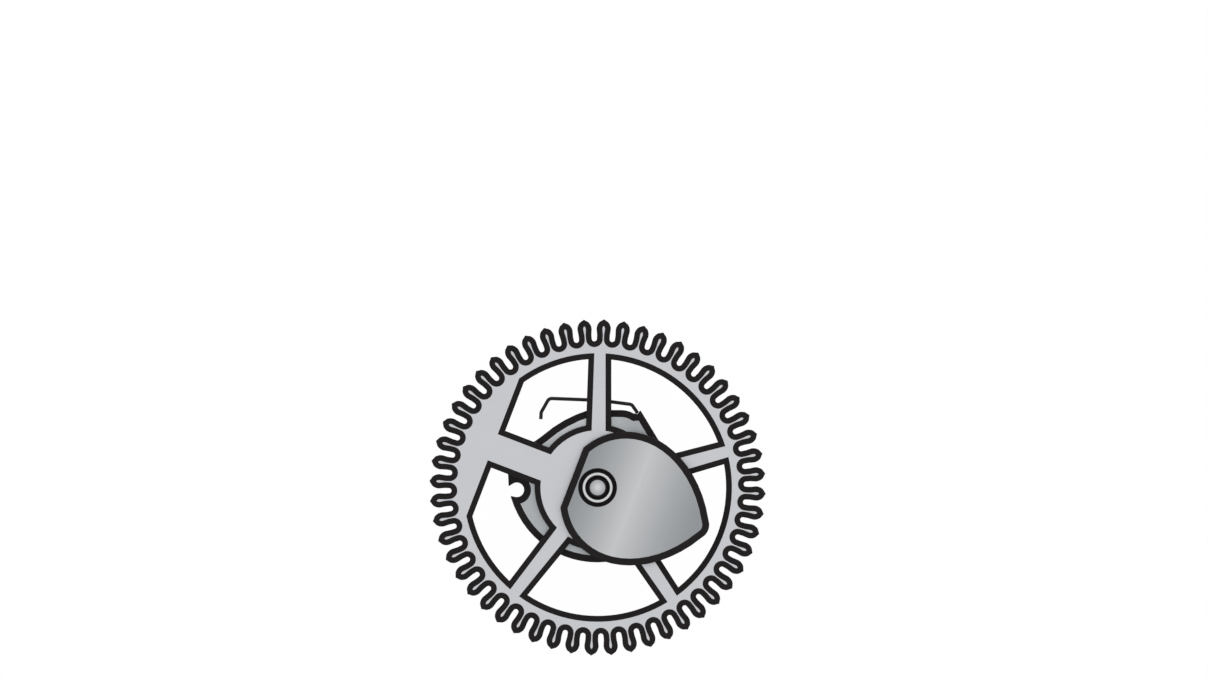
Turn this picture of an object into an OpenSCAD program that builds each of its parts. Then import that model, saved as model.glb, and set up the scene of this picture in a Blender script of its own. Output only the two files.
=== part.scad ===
// Chronograph runner of a wrist chronograph, in millimetres.
// A heart-shaped reset cam is pressed on a long staff, and a toothed wheel on the pipe round it.
// A sprung minute finger turns a few degrees on the pipe, between the wheel and a collar.
// +Z runs up the staff to the cam. The origin is on the staff's axis, at the shoulder
// where the lower journal steps down to the long shaft.

/* [Staff] */
// Radius of the short pivot above the cam
pivot_r = 0.28; // [0.22:0.01:0.3]
// How far the pivot stands above the cam
pivot_l = 0.32; // [0.2:0.01:0.5]
// Radius of the seat that carries the cam, which shows as a ring in it
cam_seat_r = 0.515; // [0.48:0.005:0.56]
// Radius of the body pressed into the pipe
body_r = 0.44; // [0.43:0.01:0.48]
// Radius of the lower journal
journal_r = 0.26; // [0.22:0.01:0.3]
// Length of the lower journal
journal_l = 0.87; // [0.6:0.01:1.2]
// Radius of the long shaft
shaft_r = 0.2; // [0.17:0.01:0.21]
// Length of the long shaft
shaft_l = 3.36; // [2.4:0.02:4.4]
// Radius of the seat that carries the hand
hand_seat_r = 0.145; // [0.14:0.005:0.165]
// Length of the hand seat's cylinder
hand_seat_l = 0.9; // [0.6:0.02:1.2]
// Radius of the lead-in's end
lead_in_r = 0.13; // [0.11:0.005:0.135]
// Length of the tapered lead-in below the hand seat
lead_in_l = 0.66; // [0.4:0.02:0.9]

/* [Pipe] */
// Radius of the wheel's seat on the pipe
wheel_seat_r = 0.7; // [0.6:0.01:0.76]
// Radius of the journal that the finger turns on
finger_journal_r = 0.86; // [0.8:0.01:0.95]
// Radius of the collar's seat on the pipe
collar_seat_r = 0.7; // [0.64:0.01:0.76]
// Radius of the lower seat, which carries the stop plate
stop_seat_r = 0.6; // [0.54:0.01:0.64]

/* [Wheel] */
// Thickness of the wheel
wheel_t = 0.46; // [0.36:0.01:0.56]
// Radius to the tooth tips
wheel_tip_r = 5.05; // [4.98:0.01:5.1]
// Width of the rim, from the bottoms of the tooth gaps inwards
rim_w = 0.53; // [0.46:0.005:0.6]
// Radius of the wheel's hub
hub_r = 1.89; // [1.8:0.01:2]
// Width of the light spokes at the hub
spoke_hub_w = 0.76; // [0.6:0.005:0.85]
// Width of the light spokes at the rim
spoke_rim_w = 0.69; // [0.55:0.005:0.75]
// Directions of the light spokes, in degrees
spoke_angles = [89, 15.5, -56.2, -128.2];
// Width of the broad spoke, which balances the cam
broad_spoke_w = 1.185; // [0.95:0.005:1.45]
// How far the flat edge of the solid rim segment lies inside the rim
segment_w = 0.66; // [0.5:0.005:0.8]

/* [Teeth] */
// Number of teeth
tooth_n = 52; // [50:2:54]
// Height of a tooth, from the bottom of the gap to the tip
tooth_h = 0.665; // [0.64:0.005:0.7]
// Direction of the tooth nearest the top, in degrees
tooth_phase = 87.8; // [85:0.1:91.9]
// Width of a tooth at its neck
tooth_neck_w = 0.384; // [0.36:0.004:0.4]
// Length of a tooth's neck, from the gap's centre circle
tooth_neck_l = 0.11; // [0.08:0.01:0.16]
// Width of a tooth at its belly
tooth_belly_w = 0.43; // [0.405:0.005:0.45]
// Height of the pointed crown above the belly
tooth_crown_h = 0.29; // [0.27:0.005:0.31]
// Depth by which the round gap bottom cuts under the neck
tooth_undercut = 0.004; // [0.003:0.001:0.006]

/* [Heart cam] */
// Thickness of the cam
cam_t = 0.5; // [0.4:0.01:0.6]
// Direction of the middle of the cam's flat, in degrees
cam_dir = 159; // [0:1:359]
// Angle from the middle of the flat to its corners
cam_corner = 49.4; // [46:0.1:54]
// Radius at the middle of a flank
cam_mid_r = 2.24; // [2.12:0.01:2.36]
// Rise of a flank from its middle to near the peak
cam_rise = 1.04; // [0.94:0.01:1.14]
// Extra lift of a flank towards the flat's corner
cam_low_lift = 0.14; // [0.08:0.01:0.2]
// Extra lift of a flank towards the peak
cam_high_lift = 0.235; // [0.16:0.005:0.3]
// Radius that rounds the cam's peak
cam_peak_r = 0.45; // [0.34:0.01:0.54]

/* [Minute finger] */
// Thickness of the finger plate
finger_t = 0.17; // [0.12:0.01:0.25]
// End shake of the finger plate, above and below
finger_shake = 0.015; // [0.012:0.001:0.03]
// Radial clearance of the finger plate on its journal
finger_play = 0.02; // [0.01:0.005:0.05]
// How far the finger turns away from its stop, in degrees
finger_swing = 6; // [4:1:12]
// Gap to the stop at either end of the swing, in degrees
stop_gap = 0.5; // [0.4:0.1:1]
// Radius of the plate's lower edge, at its nearest to the axis
sweep_r = 2.255; // [2.17:0.005:2.3]
// Rise of the lower edge from there to the drive notch
sweep_rise = 0.325; // [0.27:0.005:0.38]
// Radius of the plate's upper crown
crown_r = 3.795; // [3.76:0.005:3.83]
// Radius of the round drive notch
notch_r = 0.218; // [0.19:0.001:0.24]
// Place of the drive notch
notch_at = [-2.427, -0.075];
// Reach of the finger's tip to the left of the axis
finger_reach = 2.8; // [2.74:0.01:2.88]
// Reach of the wing to the right of the axis
wing_reach = 2.79; // [2.6:0.01:2.88]

/* [Collar and stop plate] */
// Radius of the collar
collar_r = 1.35; // [1.2:0.01:1.38]
// Thickness of the collar
collar_t = 0.36; // [0.26:0.01:0.5]
// Radius of the stop plate's disc
stop_r = 1.66; // [1.5:0.01:1.75]
// Thickness of the stop plate
stop_t = 0.33; // [0.24:0.01:0.5]
// Clearance between the collar and the lug
lug_room = 0.05; // [0.03:0.01:0.1]
// Distance from the axis to the lug's outer face, along X
lug_out_x = 2.18; // [2:0.01:2.3]
// Distance from the axis to the lug's front face, along Y
lug_front_y = 1.3; // [1.1:0.01:1.4]
// Direction of the face that the finger's wing rests on, in degrees below +X
lug_stop_dir = 18; // [16:0.5:20]
// Gap between the lug and the wheel
lug_gap = 0.06; // [0.04:0.01:0.1]

/* [Spring] */
// Radius of the spring wire
wire_r = 0.05; // [0.035:0.005:0.055]
// Radius of the wire's bends, at its centre line
wire_bend_r = 0.14; // [0.11:0.01:0.15]
// Radius of the spring stud's head
stud_r = 0.17; // [0.14:0.01:0.2]
// Radius of the stud's shank, riveted in the wheel
stud_shank_r = 0.1; // [0.08:0.01:0.12]
// Length of the stud's shank
stud_shank_l = 0.26; // [0.18:0.01:0.3]
// Radius of the pocket in the finger plate that takes the wire's end
pocket_r = 0.1; // [0.095:0.001:0.11]

/* [Edges] */
// Chamfer on turned edges
edge = 0.02; // [0.01:0.005:0.03]

/* [Hidden] */
$fn = 96;

// Heights along the staff, from the lower journal's shoulder
stop_z = journal_l;
collar_z = stop_z + stop_t;
journal_z = collar_z + collar_t;
finger_z = journal_z + finger_shake;
wheel_z = finger_z + finger_t + finger_shake;
cam_z = wheel_z + wheel_t;
pivot_z = cam_z + cam_t;
staff_top_z = pivot_z + pivot_l;
seat_end_z = -shaft_l - hand_seat_l;
staff_end_z = seat_end_z - lead_in_l;

// Radii of the wheel, from the tips inwards
wheel_root_r = wheel_tip_r - tooth_h;
rim_in_r = wheel_root_r - rim_w;
segment_r = rim_in_r - segment_w;

// Circle that the round gap bottoms are centred on, and their radius
half_pitch = 180 / tooth_n;
gap_c_r = (wheel_root_r - tooth_neck_w / 2) / (1 - sin(half_pitch));
gap_r = gap_c_r - wheel_root_r + tooth_undercut;
gap_sides = 48;
belly_r = wheel_tip_r - tooth_crown_h;

// Offset of the two arcs that form a tooth's pointed crown
crown_off = (pow(tooth_crown_h, 2) - pow(tooth_belly_w / 2, 2)) / tooth_belly_w;

// Spring route: free leg, top run, the straight held by the stud, and the end in the pocket
stud_at = [0.042, 2.604];
stud_dir = -4.5;
stud_run_out = 0.05;
stud_hold = stud_r + stud_run_out;
pocket_at = [1.14, 2.275];
wire_room = 0.008;
wire_end_dir = -20;
wire_end = pocket_at + (pocket_r - wire_r - wire_room) * toward(wire_end_dir);
wire_z = finger_z + finger_t / 2;
wire_route = [
    [-1.705, 2.045],
    [-1.695, 2.25],
    [-1.458, 2.67],
    stud_at - stud_hold * toward(stud_dir),
    stud_at + stud_hold * toward(stud_dir),
    [1.05, 2.484],
    wire_end
];
wire_sides = 12;
wire_bend_step = 12;

// The stud's head is as deep as the finger plate's gap
stud_head_t = wheel_z - finger_z + finger_shake / 2;
stud_hole_room = 0.02;

// Finger plate: the shoulder's and the crown's arcs, and the hook beside the pocket
shoulder_at = [0.71, 1.584];
shoulder_r = 0.736;
shoulder_from = 60;
shoulder_to = 90;
crown_at = [0.845, -1.304];
crown_from = 107;
crown_to = 131;
hook_w = 0.065;
hook_rise = 0.01;
hook_at = pocket_at + [pocket_r + hook_w, hook_rise];
hook_slope = 1.65;

// Finger: its back, the cut at its tip, and the horn between the tip and the drive notch
finger_back = [[-1.857, 1.405], [-2.4, 1.1]];
finger_tip_cut = 0.12;
finger_tip_y = 0.72;
horn_w = 0.263;
horn_top_y = 0.4;
horn_foot = [-0.245, 0.118];

// Lower edge of the finger plate: where it starts at the notch, and where it levels out
notch_lip_dir = 185.8;
sweep_level_dir = 270;
sweep_span = 78;
sweep_power = 1.8;
arc_step = 6;

// The lug's corners set the window of the finger plate
lug_in_x = (collar_r + lug_room) * cos(lug_stop_dir);
lug_corner_dir = atan(lug_front_y / lug_in_x);
window_play = 0.09;
window_r = lug_in_x - window_play;
window_steps = 6;
window_from = -(lug_corner_dir + finger_swing + stop_gap);
window_to = -(lug_stop_dir - stop_gap);

// Unit vector in a direction
function toward(a) = [cos(a), sin(a)];

// Radius of the cam at an angle from the middle of its flat
flank_mid_dir = 117;
flank_half = 60;
flank_step = 6;
flank_end = 175;
function flank_at(a) = (a - flank_mid_dir) / flank_half;
function cam_lift(a) = flank_at(a) < 0 ? cam_low_lift : cam_high_lift;
function cam_r(a) =
    cam_mid_r + cam_rise * flank_at(a) + cam_lift(a) * pow(abs(flank_at(a)), 3);

// Rise of the cam's radius with angle at its peak, per radian
peak_rise = (cam_rise + 3 * cam_high_lift * pow(flank_at(180), 2)) / flank_half * 180 / PI;
peak_half = atan(cam_r(180) / peak_rise);
peak_at = cam_r(180) - cam_peak_r / sin(peak_half);
peak_turn = 90 - peak_half;

// Radius of the finger plate's lower edge in a direction
function sweep_lift(a) = max(sweep_level_dir - a, 0) / sweep_span;
function sweep_at(a) = sweep_r + sweep_rise * pow(sweep_lift(a), sweep_power);

// Width of a light spoke at a radius
function spoke_w(r) =
    spoke_hub_w + (spoke_rim_w - spoke_hub_w) * (r - hub_r) / (rim_in_r - hub_r);

// A disc with a bore and chamfered outer edges
module turned_disc(r, bore_r, z, t) {
    rotate_extrude()
        polygon([
            [bore_r, z],
            [r - edge, z],
            [r, z + edge],
            [r, z + t - edge],
            [r - edge, z + t],
            [bore_r, z + t]
        ]);
}

// Long stepped staff: pivot, cam seat, pressed body, journal, shaft, hand seat and lead-in
module staff() {
    color([0.8, 0.81, 0.82])
        rotate_extrude()
            polygon([
                [0, staff_end_z],
                [lead_in_r - edge, staff_end_z],
                [lead_in_r, staff_end_z + edge],
                [hand_seat_r, seat_end_z],
                [hand_seat_r, -shaft_l],
                [shaft_r, -shaft_l],
                [shaft_r, 0],
                [journal_r, 0],
                [journal_r, stop_z],
                [body_r, stop_z],
                [body_r, cam_z],
                [cam_seat_r, cam_z],
                [cam_seat_r, pivot_z],
                [pivot_r, pivot_z],
                [pivot_r, staff_top_z - edge],
                [pivot_r - edge, staff_top_z],
                [0, staff_top_z]
            ]);
}

// Pipe pressed on the staff under the cam seat, with a seat for each piece that it carries
module hub_pipe() {
    color([0.79, 0.8, 0.81])
        rotate_extrude()
            polygon([
                [body_r, stop_z],
                [stop_seat_r, stop_z],
                [stop_seat_r, collar_z],
                [collar_seat_r, collar_z],
                [collar_seat_r, journal_z],
                [finger_journal_r, journal_z],
                [finger_journal_r, wheel_z],
                [wheel_seat_r, wheel_z],
                [wheel_seat_r, cam_z],
                [body_r, cam_z]
            ]);
}

// One tooth, pointing along +X: straight neck, widening belly and pointed crown
module tooth() {
    neck = tooth_neck_w / 2;
    belly = tooth_belly_w / 2;
    polygon([
        [wheel_root_r - gap_r / 2, -neck],
        [gap_c_r + tooth_neck_l, -neck],
        [belly_r, -belly],
        [belly_r, belly],
        [gap_c_r + tooth_neck_l, neck],
        [wheel_root_r - gap_r / 2, neck]
    ]);
    intersection() {
        translate([belly_r, -crown_off]) circle(belly + crown_off);
        translate([belly_r, crown_off]) circle(belly + crown_off);
    }
}

// Outline of the toothed blank, with round-bottomed gaps
module toothed_blank() {
    difference() {
        union() {
            circle(gap_c_r);
            for (i = [0 : tooth_n - 1])
                rotate(tooth_phase + 2 * i * half_pitch) tooth();
        }
        for (i = [0 : tooth_n - 1])
            rotate(tooth_phase + (2 * i + 1) * half_pitch)
                translate([gap_c_r, 0]) circle(gap_r, $fn = gap_sides);
    }
}

// One light spoke, pointing along +X, from inside the hub to inside the rim
module light_spoke() {
    from = hub_r / 2;
    to = (rim_in_r + wheel_root_r) / 2;
    polygon([
        [from, -spoke_w(from) / 2],
        [to, -spoke_w(to) / 2],
        [to, spoke_w(to) / 2],
        [from, spoke_w(from) / 2]
    ]);
}

// The windows between the spokes
module windows() {
    difference() {
        circle(rim_in_r);
        circle(hub_r);
        for (a = spoke_angles) rotate(a) light_spoke();
        rotate(cam_dir) {
            translate([0, -broad_spoke_w / 2]) square([wheel_root_r, broad_spoke_w]);
            translate([segment_r, -wheel_root_r]) square(2 * wheel_root_r);
        }
    }
}

// Toothed wheel with four light spokes, a broad one, and the hole for the stud's shank
module chronograph_wheel() {
    color([0.77, 0.78, 0.79])
        difference() {
            translate([0, 0, wheel_z])
                linear_extrude(wheel_t)
                    difference() {
                        toothed_blank();
                        windows();
                        circle(wheel_seat_r);
                    }
            translate([stud_at.x, stud_at.y, wheel_z - edge])
                cylinder(r = stud_shank_r, h = edge + stud_shank_l + edge);
        }
}

// Heart cam: two rising flanks, mirror images, that meet in a rounded peak
module heart_cam() {
    flank = [for (a = [cam_corner : flank_step : flank_end]) cam_r(a) * toward(a)];
    peak = [for (a = [-peak_turn : peak_turn / 2 : peak_turn])
        -[peak_at, 0] + cam_peak_r * toward(180 + a)];
    outline = concat(
        flank,
        [for (p = [len(peak) - 1 : -1 : 0]) [peak[p].x, -peak[p].y]],
        [for (i = [len(flank) - 1 : -1 : 0]) [flank[i].x, -flank[i].y]]
    );
    color([0.66, 0.67, 0.68])
        translate([0, 0, cam_z])
            linear_extrude(cam_t)
                difference() {
                    rotate(cam_dir) polygon(outline);
                    circle(cam_seat_r);
                }
}

// Finger plate: turns on the pipe, carries the minute finger, the hook and the wing
module finger_plate() {
    wing_top = hook_at.y - hook_slope * (wing_reach - hook_at.x);
    shoulder = [for (a = [shoulder_from : arc_step : shoulder_to])
        shoulder_at + shoulder_r * toward(a)];
    crown = [for (a = [crown_from : arc_step : crown_to]) crown_at + crown_r * toward(a)];
    sweep = [for (a = [notch_lip_dir : arc_step : 360 + window_from]) sweep_at(a) * toward(a)];
    window = [for (k = [0 : window_steps])
        window_r * toward(window_from + (window_to - window_from) * k / window_steps)];
    finger = [
        [-finger_reach + finger_tip_cut, finger_tip_y + finger_tip_cut],
        [-finger_reach, finger_tip_y],
        [notch_at.x - horn_w, horn_top_y],
        notch_at + horn_foot,
        notch_at
    ];
    wing = [
        wing_reach / cos(window_to) * toward(window_to),
        [wing_reach, wing_top],
        hook_at
    ];
    color([0.65, 0.67, 0.68])
        translate([0, 0, finger_z])
            linear_extrude(finger_t)
                difference() {
                    polygon(concat(
                        shoulder,
                        crown,
                        finger_back,
                        finger,
                        sweep,
                        [sweep_r * toward(window_from)],
                        window,
                        wing,
                        [pocket_at]
                    ));
                    circle(finger_journal_r + finger_play);
                    translate(notch_at) circle(notch_r);
                    translate(pocket_at) circle(pocket_r);
                }
}

// Collar under the finger plate, which keeps it on its journal
module collar_disc() {
    color([0.7, 0.72, 0.73])
        turned_disc(collar_r, collar_seat_r, collar_z, collar_t);
}

// Outline of the lug that stops the finger's wing
module lug_outline(in_x) {
    polygon([
        [in_x, -in_x * tan(lug_stop_dir)],
        [lug_out_x, -lug_out_x * tan(lug_stop_dir)],
        [lug_out_x, -lug_front_y],
        [in_x, -lug_front_y]
    ]);
}

// Stop plate: a disc with an arm, and the upright lug at the arm's end
module stop_plate() {
    color([0.53, 0.55, 0.57])
        difference() {
            union() {
                turned_disc(stop_r, stop_seat_r, stop_z, stop_t);
                translate([0, 0, stop_z]) linear_extrude(stop_t) lug_outline(stop_seat_r);
                translate([0, 0, stop_z])
                    linear_extrude(wheel_z - lug_gap - stop_z) lug_outline(lug_in_x);
            }
            translate([0, 0, stop_z - edge]) cylinder(r = stop_seat_r, h = stop_t + 2 * edge);
        }
}

// Stud under the top spoke, cross-drilled for the wire
module spring_stud() {
    color([0.6, 0.61, 0.63])
        difference() {
            union() {
                translate([stud_at.x, stud_at.y, wheel_z - stud_head_t])
                    cylinder(r = stud_r, h = stud_head_t);
                translate([stud_at.x, stud_at.y, wheel_z])
                    cylinder(r = stud_shank_r, h = stud_shank_l);
            }
            translate([stud_at.x, stud_at.y, wire_z])
                rotate([0, 90, stud_dir])
                    translate([0, 0, -stud_r - stud_hole_room])
                        cylinder(r = wire_r, h = 2 * (stud_r + stud_hole_room));
        }
}

// Direction of one run of the wire, the turn at the run's start, and how far a bend reaches
function run_dir(i) =
    atan2(wire_route[i + 1].y - wire_route[i].y, wire_route[i + 1].x - wire_route[i].x);
function turn_at(i) = run_dir(i) - run_dir(i - 1);
function trim_at(i) = wire_bend_r * tan(abs(turn_at(i)) / 2);

// Stations of one bend of the wire: points of its arc, each with the wire's direction there
function bend_at(i) =
    let (
        side = sign(turn_at(i)),
        from = wire_route[i] - trim_at(i) * toward(run_dir(i - 1)),
        centre = from + wire_bend_r * toward(run_dir(i - 1) + 90 * side),
        steps = ceil(abs(turn_at(i)) / wire_bend_step)
    )
    [for (k = [0 : steps])
        let (a = run_dir(i - 1) + turn_at(i) * k / steps)
            concat(centre + wire_bend_r * toward(a - 90 * side), [a])];

// Ring of points round one station of the wire
function ring_at(s) =
    [for (k = [0 : wire_sides - 1])
        let (a = 360 * k / wire_sides, across = wire_r * cos(a) * toward(s.z + 90))
            [s.x + across.x, s.y + across.y, wire_z + wire_r * sin(a)]];

// Bent wire spring: held in the stud, with its short end in the finger plate's pocket
module wire_spring() {
    last = len(wire_route) - 1;
    stations = concat(
        [concat(wire_route[0], [run_dir(0)])],
        [for (i = [1 : last - 1]) each bend_at(i)],
        [concat(wire_route[last], [run_dir(last - 1)])]
    );
    rings = len(stations);
    sides = [
        for (s = [0 : rings - 2], k = [0 : wire_sides - 1])
            let (a = s * wire_sides, n = (k + 1) % wire_sides)
                [a + k, a + wire_sides + k, a + wire_sides + n, a + n]
    ];
    start = [[for (k = [0 : wire_sides - 1]) k]];
    end = [[for (k = [wire_sides - 1 : -1 : 0]) (rings - 1) * wire_sides + k]];
    color([0.3, 0.3, 0.31])
        polyhedron([for (s = stations) each ring_at(s)], concat(start, sides, end));
}

staff();
hub_pipe();
chronograph_wheel();
heart_cam();
finger_plate();
collar_disc();
stop_plate();
spring_stud();
wire_spring();
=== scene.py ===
"""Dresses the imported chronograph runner: modelled edges, satin finishes, studio light and camera.

Sizes are in millimetres and angles in degrees, counter-clockwise seen from the cam's side. Each
piece is shaped about the origin on the bench and brought to metres, at its height, when it is done.
"""

import sys

import logging
import math
from dataclasses import dataclass
from enum import Enum
from typing import Callable

import bpy
from bpy.types import Material, MeshPolygon, Node, NodeSocket, NodeTree, Object
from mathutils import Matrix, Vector


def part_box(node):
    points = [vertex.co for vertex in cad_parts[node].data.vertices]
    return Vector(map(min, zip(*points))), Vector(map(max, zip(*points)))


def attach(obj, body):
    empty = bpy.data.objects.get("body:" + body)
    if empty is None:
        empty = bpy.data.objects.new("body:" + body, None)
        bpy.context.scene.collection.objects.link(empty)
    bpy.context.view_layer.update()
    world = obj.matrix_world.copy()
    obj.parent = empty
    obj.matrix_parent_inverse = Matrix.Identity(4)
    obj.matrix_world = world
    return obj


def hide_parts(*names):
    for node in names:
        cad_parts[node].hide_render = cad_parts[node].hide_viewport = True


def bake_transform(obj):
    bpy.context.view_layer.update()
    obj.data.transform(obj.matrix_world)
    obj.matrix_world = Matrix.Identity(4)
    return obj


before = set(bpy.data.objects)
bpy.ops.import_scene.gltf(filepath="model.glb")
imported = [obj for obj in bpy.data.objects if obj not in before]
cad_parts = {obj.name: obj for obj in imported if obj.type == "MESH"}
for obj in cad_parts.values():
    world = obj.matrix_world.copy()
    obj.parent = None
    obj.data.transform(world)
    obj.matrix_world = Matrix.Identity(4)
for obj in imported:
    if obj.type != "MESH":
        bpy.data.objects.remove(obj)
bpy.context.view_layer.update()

log = logging.getLogger("runner")

Point = tuple[float, float]
Place = tuple[float, float, float]
Colour = tuple[float, float, float, float]

# A turned profile's corner is its radius, height and cut. A line is its direction, its offset from
# the axis and its slope.
Corner = tuple[float, float, float]
Line = tuple[float, float, float]

# A millimetre in metres, a full turn, and the distance under which two points are one.
MM = 0.001
ROUND = 360.0
TIGHT = 1e-4

# Edges that turn by less than this are shaded smooth.
SMOOTH_UNDER = 28.0

# How much of a face's normal points one way. Over FLAT_FACE, the face lies square to it. Along Z, a
# face over SLOPE_TO is a flat one, one over SLOPE_FROM is a sloping edge, and the rest are walls.
FLAT_FACE = 0.95
SLOPE_FROM, SLOPE_TO = 0.2, 0.985

# Where the heart's flat and the wheel's broad spoke point, and the stud's place and shank radius.
HEART_DIR = 159.0
STUD_AT: Point = (0.042, 2.604)
STUD_SHANK_R = 0.1

RUNNER, FINGER = "runner", "finger"
WHITE: Colour = (1.0, 1.0, 1.0, 1.0)


def toward(direction: float, reach: float = 1.0) -> Point:
    """Returns the point at a distance from the axis in a direction."""
    turn = math.radians(direction)
    return (reach * math.cos(turn), reach * math.sin(turn))


def moved(point: Point, by: Point) -> Point:
    """Returns a point shifted by another."""
    return (point[0] + by[0], point[1] + by[1])


def turned(point: Point, angle: float) -> Point:
    """Returns a point turned about the axis."""
    return toward(math.degrees(math.atan2(point[1], point[0])) + angle, math.hypot(*point))


def heading(from_point: Point, to_point: Point) -> float:
    """Returns the direction from one point to another."""
    return math.degrees(math.atan2(to_point[1] - from_point[1], to_point[0] - from_point[0]))


def linear(hex_colour: str) -> Colour:
    """Turns a display colour into the linear values that shaders take, by the sRGB curve.

    Args:
        hex_colour: The colour as six hex digits.

    Returns:
        Red, green, blue and an alpha of one.
    """
    shares = [int(hex_colour[i : i + 2], 16) / 255 for i in (0, 2, 4)]
    red, green, blue = (
        s / 12.92 if s <= 0.04045 else ((s + 0.055) / 1.055) ** 2.4 for s in shares
    )
    return (red, green, blue, 1.0)


@dataclass(frozen=True)
class Chamfer:
    """A chamfer round a plate: its width across the face and its depth down the wall."""

    width: float
    depth: float


class Layer(Enum):
    """The material slots of a piece, in order."""

    FACE = 0
    EDGE = 1
    WALL = 2
    END = 3


class Bench:
    """Blender's modelling operators, each with the selection made plain first."""

    @staticmethod
    def leave_edit() -> None:
        """Goes back to object mode from wherever the last operator left off."""
        if bpy.context.mode != "OBJECT":
            bpy.ops.object.mode_set(mode="OBJECT")

    @staticmethod
    def take(piece: Object) -> None:
        """Makes one object the active one, with nothing else selected.

        Args:
            piece: The object to take.
        """
        Bench.leave_edit()
        bpy.ops.object.select_all(action="DESELECT")
        piece.select_set(True)
        bpy.context.view_layer.objects.active = piece

    @staticmethod
    def edit(piece: Object, all_of_it: bool = True) -> None:
        """Opens a piece in edit mode.

        Args:
            piece: The object to open.
            all_of_it: Whether the whole mesh ends up selected, or none of it.
        """
        Bench.take(piece)
        bpy.ops.object.mode_set(mode="EDIT")
        bpy.ops.mesh.select_mode(type="VERT")
        bpy.ops.mesh.select_all(action="SELECT" if all_of_it else "DESELECT")

    @staticmethod
    def pick(piece: Object, test: Callable[[MeshPolygon], bool]) -> None:
        """Selects the faces that pass a test, and nothing else, and opens edit mode.

        Args:
            piece: The object whose faces are tested.
            test: Says whether a face is wanted.
        """
        Bench.edit(piece, all_of_it=False)
        bpy.ops.mesh.select_mode(type="FACE")
        Bench.leave_edit()
        for face in piece.data.polygons:
            face.select = test(face)
        bpy.ops.object.mode_set(mode="EDIT")

    @staticmethod
    def face_along_z(outline: Object, up: bool) -> None:
        """Turns a lone flat face so that its normal points up or down.

        Args:
            outline: An object with one face in the XY plane.
            up: Whether the normal is to point up.
        """
        Bench.edit(outline)
        Bench.leave_edit()
        faces_up = outline.data.polygons[0].normal.z > 0
        bpy.ops.object.mode_set(mode="EDIT")
        if faces_up != up:
            bpy.ops.mesh.flip_normals()

    @staticmethod
    def lift(height: float) -> None:
        """Extrudes the selected faces along Z."""
        bpy.ops.mesh.extrude_region_move(TRANSFORM_OT_translate={"value": (0.0, 0.0, height)})

    @staticmethod
    def mirror_down(half: Object) -> Object:
        """Mirrors a half that is open at the XY plane, which closes it.

        Args:
            half: The upper half.

        Returns:
            The whole, with its normals outwards.
        """
        Bench.take(half)
        bpy.ops.object.modifier_add(type="MIRROR")
        mirror = half.modifiers[-1]
        mirror.use_axis = (False, False, True)
        mirror.merge_threshold = TIGHT
        bpy.ops.object.modifier_apply(modifier=mirror.name)
        Bench.outwards(half)
        return half

    @staticmethod
    def outwards(piece: Object) -> Object:
        """Merges doubles and turns every normal outwards.

        Args:
            piece: A closed shape.

        Returns:
            The same shape.
        """
        Bench.edit(piece)
        bpy.ops.mesh.remove_doubles(threshold=TIGHT)
        bpy.ops.mesh.normals_make_consistent(inside=False)
        Bench.leave_edit()
        return piece

    @staticmethod
    def combine(piece: Object, tools: list[Object], how: str = "DIFFERENCE") -> None:
        """Cuts with, or joins on, other closed shapes, which are used up.

        Args:
            piece: The shape that is kept.
            tools: The shapes that cut it or are joined to it.
            how: The boolean operation.
        """
        for tool in tools:
            Bench.take(piece)
            bpy.ops.object.modifier_add(type="BOOLEAN")
            boolean = piece.modifiers[-1]
            boolean.operation = how
            boolean.solver = "EXACT"
            boolean.object = tool
            bpy.ops.object.modifier_apply(modifier=boolean.name)
            Bench.take(tool)
            bpy.ops.object.delete()
            Bench.outwards(piece)

    @staticmethod
    def keep_place(piece: Object) -> None:
        """Puts an object's place, turn and scale into its mesh."""
        Bench.take(piece)
        bpy.ops.object.transform_apply(location=True, rotation=True, scale=True)

    @staticmethod
    def shift(piece: Object, by: Place) -> None:
        """Moves a shape on the bench.

        Args:
            piece: The shape.
            by: How far it goes.
        """
        Bench.take(piece)
        bpy.ops.transform.translate(value=by)
        Bench.keep_place(piece)

    @staticmethod
    def settle(piece: Object, height: float = 0.0) -> Object:
        """Brings a finished shape to metres, at its height, and smooths all but its flat faces.

        Args:
            piece: The shape, in millimetres about the origin.
            height: Where the bench's zero lies along the staff.

        Returns:
            The piece, in place.
        """
        Bench.shift(piece, (0.0, 0.0, height))
        piece.scale = (MM, MM, MM)
        Bench.keep_place(piece)
        bpy.ops.object.shade_smooth_by_angle(angle=math.radians(SMOOTH_UNDER))
        Bench.pick(piece, lambda f: abs(f.normal.z) > 1 - TIGHT)
        bpy.ops.mesh.faces_shade_flat()
        Bench.leave_edit()
        return piece


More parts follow.
